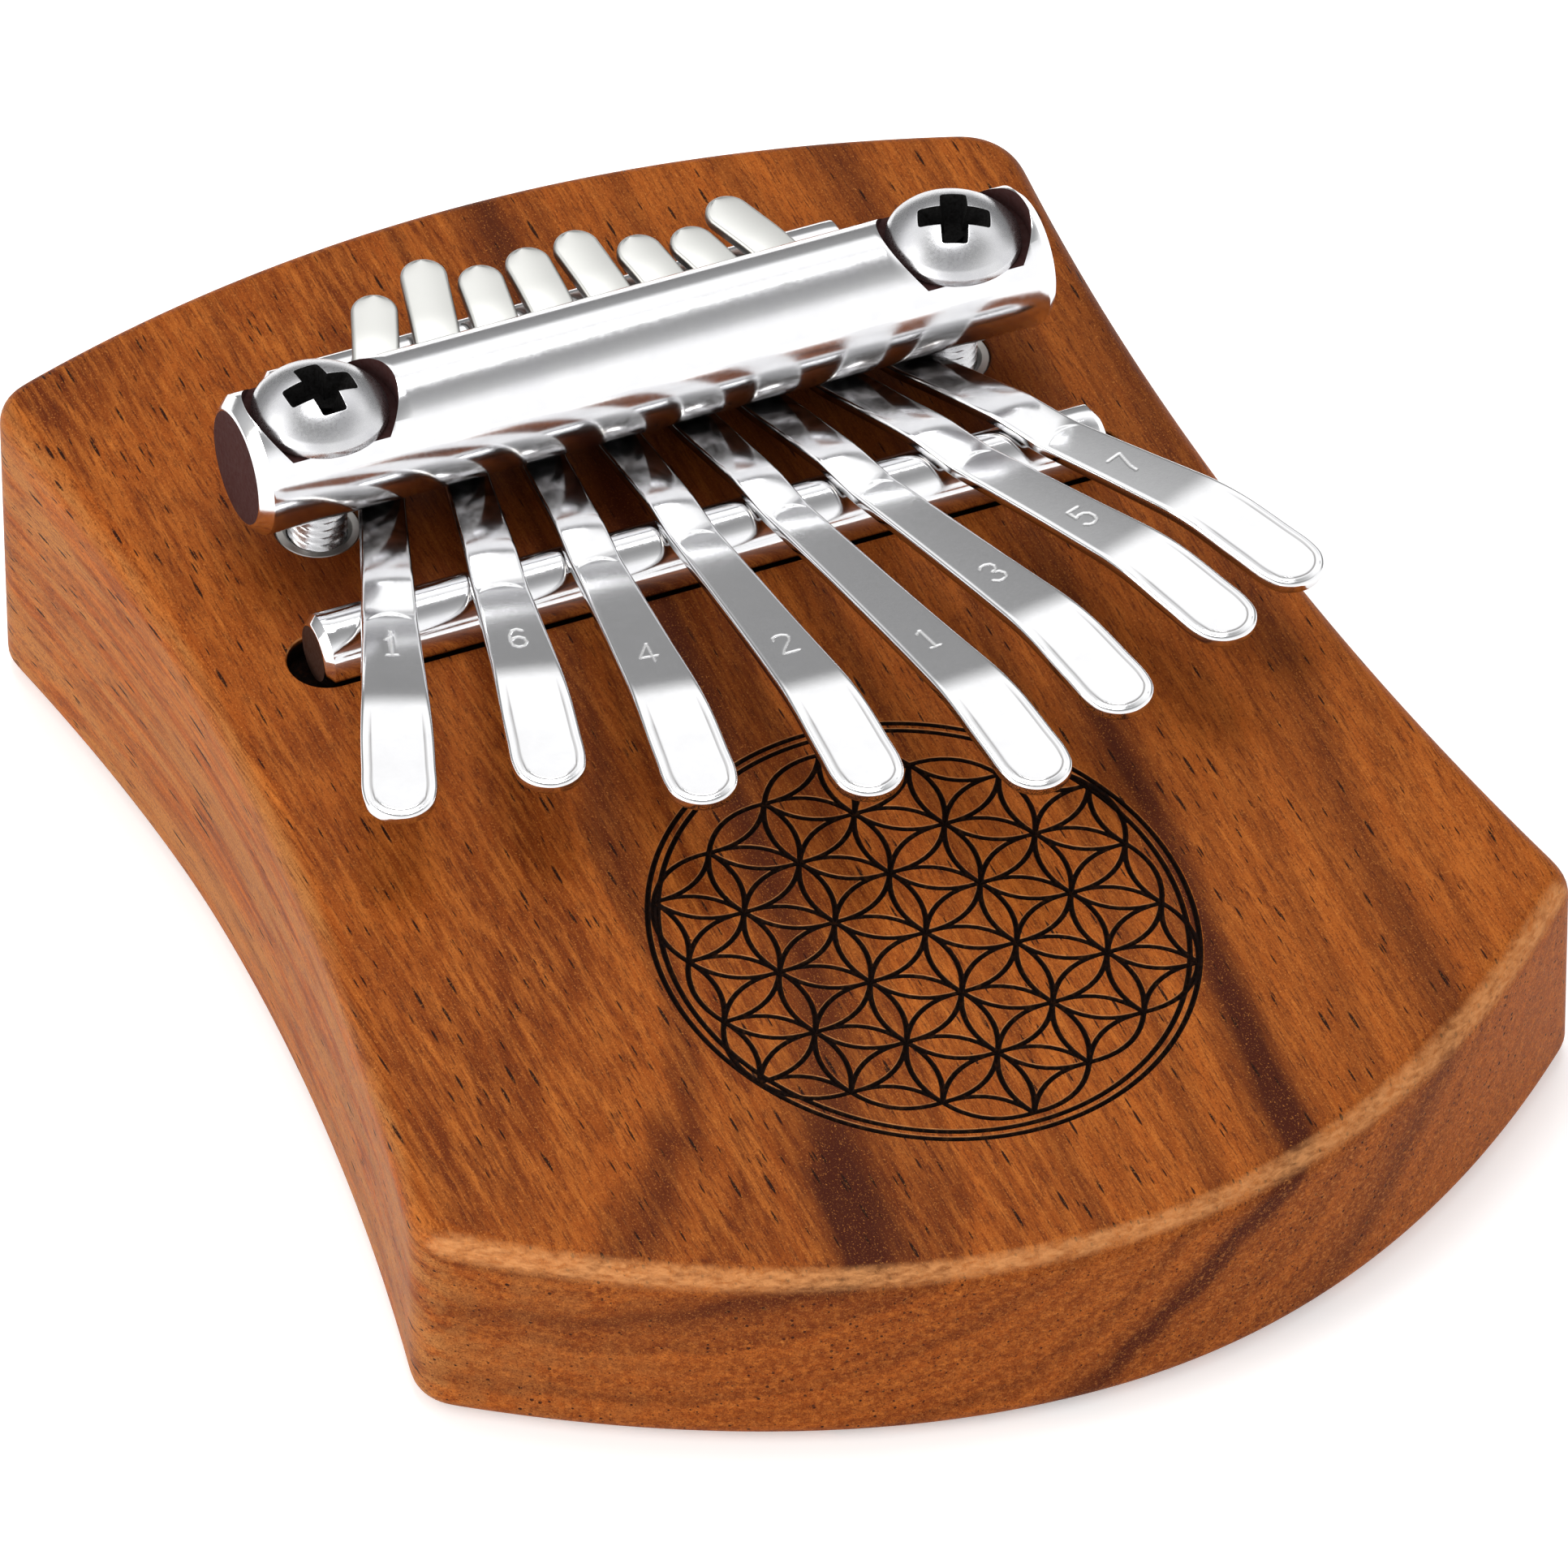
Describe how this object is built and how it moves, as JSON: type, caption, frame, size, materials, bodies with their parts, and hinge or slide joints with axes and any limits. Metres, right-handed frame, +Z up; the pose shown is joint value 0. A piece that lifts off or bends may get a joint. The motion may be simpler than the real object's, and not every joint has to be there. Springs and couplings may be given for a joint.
{
  "type": "mbira",
  "caption": "Small solid-wood thumb piano with a waisted wedge body, spring-steel tines clamped under a round pressure bar between two bridge rods, and an engraved rosette.",
  "frame": {"origin": "on the flat underside of the wooden body, at the middle of its footprint to within a millimetre", "axes": "+Z up out of the playing face side, +Y towards the thick clamped end, +X to the right as seen by a player holding the thin end"},
  "size_m": [0.1032, 0.1331, 0.0411],
  "materials": {
    "hardwood": "satin oiled reddish-brown hardwood with open pores",
    "rod_chrome": "bright plated round rod",
    "bar_chrome": "polished plated pressure bar",
    "screw_nickel": "nickel-plated screw, slightly soft gloss",
    "insert_steel": "plain machined steel",
    "tine_steel": "bright ground spring steel, rounded edges"
  },
  "bodies": {
    "base": {"body_block": "hardwood", "front_bridge_rod": "rod_chrome", "rear_bridge_rod": "rod_chrome", "pressure_bar": "bar_chrome", "left_clamp_screw": "screw_nickel", "right_clamp_screw": "screw_nickel", "left_threaded_insert": "insert_steel", "right_threaded_insert": "insert_steel"},
    "shank_1": {"tine_1_shank": "tine_steel"},
    "tongue_1": {"tine_1_tongue": "tine_steel"},
    "shank_2": {"tine_2_shank": "tine_steel"},
    "tongue_2": {"tine_2_tongue": "tine_steel"},
    "shank_3": {"tine_3_shank": "tine_steel"},
    "tongue_3": {"tine_3_tongue": "tine_steel"},
    "shank_4": {"tine_4_shank": "tine_steel"},
    "tongue_4": {"tine_4_tongue": "tine_steel"},
    "shank_5": {"tine_5_shank": "tine_steel"},
    "tongue_5": {"tine_5_tongue": "tine_steel"},
    "shank_6": {"tine_6_shank": "tine_steel"},
    "tongue_6": {"tine_6_tongue": "tine_steel"},
    "shank_7": {"tine_7_shank": "tine_steel"},
    "tongue_7": {"tine_7_tongue": "tine_steel"},
    "shank_8": {"tine_8_shank": "tine_steel"},
    "tongue_8": {"tine_8_tongue": "tine_steel"}
  },
  "joints": [
    {"name": "tune_1", "type": "slide", "parent": "base", "child": "shank_1", "axis": [-0.3532, -0.9318, -0.0832], "range_m": [-0.0005, 0.0005]},
    {"name": "pluck_1", "type": "hinge", "parent": "shank_1", "child": "tongue_1", "pos_m": [-0.0295, 0.0133, 0.02893], "axis": [0.9355, -0.3518, -0.0314], "range_deg": [-3.5, 4.66], "stiffness_Nm_per_rad": 0.05},
    {"name": "tune_2", "type": "slide", "parent": "base", "child": "shank_2", "axis": [-0.2278, -0.9699, -0.0866], "range_m": [-0.0005, 0.0005]},
    {"name": "pluck_2", "type": "hinge", "parent": "shank_2", "child": "tongue_2", "pos_m": [-0.01953, 0.01314, 0.02892], "axis": [0.9737, -0.2269, -0.0202], "range_deg": [-3.47, 4.63], "stiffness_Nm_per_rad": 0.05},
    {"name": "tune_3", "type": "slide", "parent": "base", "child": "shank_3", "axis": [-0.1247, -0.9883, -0.0882], "range_m": [-0.0005, 0.0005]},
    {"name": "pluck_3", "type": "hinge", "parent": "shank_3", "child": "tongue_3", "pos_m": [-0.01087, 0.01306, 0.02891], "axis": [0.9922, -0.1242, -0.0111], "range_deg": [-2.68, 3.58], "stiffness_Nm_per_rad": 0.05},
    {"name": "tune_4", "type": "slide", "parent": "base", "child": "shank_4", "axis": [-0.0025, -0.996, -0.0889], "range_m": [-0.0005, 0.0005]},
    {"name": "pluck_4", "type": "hinge", "parent": "shank_4", "child": "tongue_4", "pos_m": [-0.00195, 0.01303, 0.02891], "axis": [1, -0.0025, -0.0002], "range_deg": [-2.34, 3.12], "stiffness_Nm_per_rad": 0.05},
    {"name": "tune_5", "type": "slide", "parent": "base", "child": "shank_5", "axis": [0.1006, -0.991, -0.0884], "range_m": [-0.0005, 0.0005]},
    {"name": "pluck_5", "type": "hinge", "parent": "shank_5", "child": "tongue_5", "pos_m": [0.00644, 0.01305, 0.02891], "axis": [0.9949, 0.1002, 0.0089], "range_deg": [-2.03, 2.71], "stiffness_Nm_per_rad": 0.05},
    {"name": "tune_6", "type": "slide", "parent": "base", "child": "shank_6", "axis": [0.1944, -0.977, -0.0872], "range_m": [-0.0005, 0.0005]},
    {"name": "pluck_6", "type": "hinge", "parent": "shank_6", "child": "tongue_6", "pos_m": [0.01435, 0.01311, 0.02892], "axis": [0.9809, 0.1936, 0.0173], "range_deg": [-2.39, 3.19], "stiffness_Nm_per_rad": 0.05},
    {"name": "tune_7", "type": "slide", "parent": "base", "child": "shank_7", "axis": [0.3203, -0.9435, -0.0842], "range_m": [-0.0005, 0.0005]},
    {"name": "pluck_7", "type": "hinge", "parent": "shank_7", "child": "tongue_7", "pos_m": [0.02348, 0.01325, 0.02893], "axis": [0.9473, 0.3191, 0.0285], "range_deg": [-2.74, 3.65], "stiffness_Nm_per_rad": 0.05},
    {"name": "tune_8", "type": "slide", "parent": "base", "child": "shank_8", "axis": [0.3886, -0.9178, -0.0819], "range_m": [-0.0005, 0.0005]},
    {"name": "pluck_8", "type": "hinge", "parent": "shank_8", "child": "tongue_8", "pos_m": [0.03135, 0.01336, 0.02894], "axis": [0.9214, 0.3871, 0.0345], "range_deg": [-3.15, 4.2], "stiffness_Nm_per_rad": 0.05}
  ]
}
